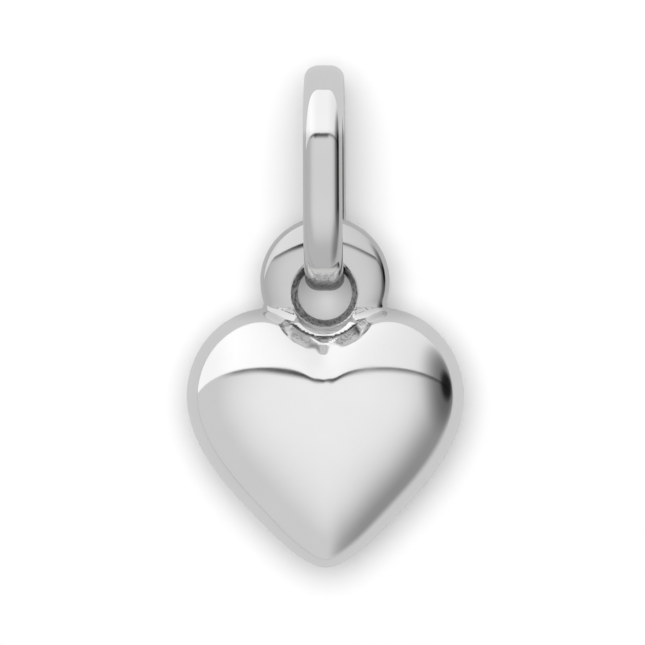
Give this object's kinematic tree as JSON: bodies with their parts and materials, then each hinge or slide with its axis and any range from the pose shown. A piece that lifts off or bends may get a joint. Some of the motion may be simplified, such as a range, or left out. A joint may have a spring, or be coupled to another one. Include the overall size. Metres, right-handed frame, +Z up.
{
  "type": "heart charm",
  "caption": "Puffed heart charm in polished silver, cast in one with its eyelet, hanging from a closed oval bail ring that takes a chain or clasp.",
  "frame": {"origin": "inside the top of the bail ring, where a chain or clasp carries the charm", "axes": "+X across the width of the heart, which is the way through the bail; +Y towards the back of the heart; +Z up, along the line the charm hangs on"},
  "size_m": [0.009, 0.0054, 0.0163],
  "materials": {
    "heart_silver": "polished",
    "bail_silver": "polished"
  },
  "bodies": {
    "bail": {"bail_ring": "bail_silver"},
    "charm": {"heart": "heart_silver"}
  },
  "joints": [
    {"name": "heart_swing", "type": "hinge", "parent": "bail", "child": "charm", "pos_m": [0, 0, -0.00677], "axis": [0, 1, 0], "range_deg": [-140, 140]}
  ]
}
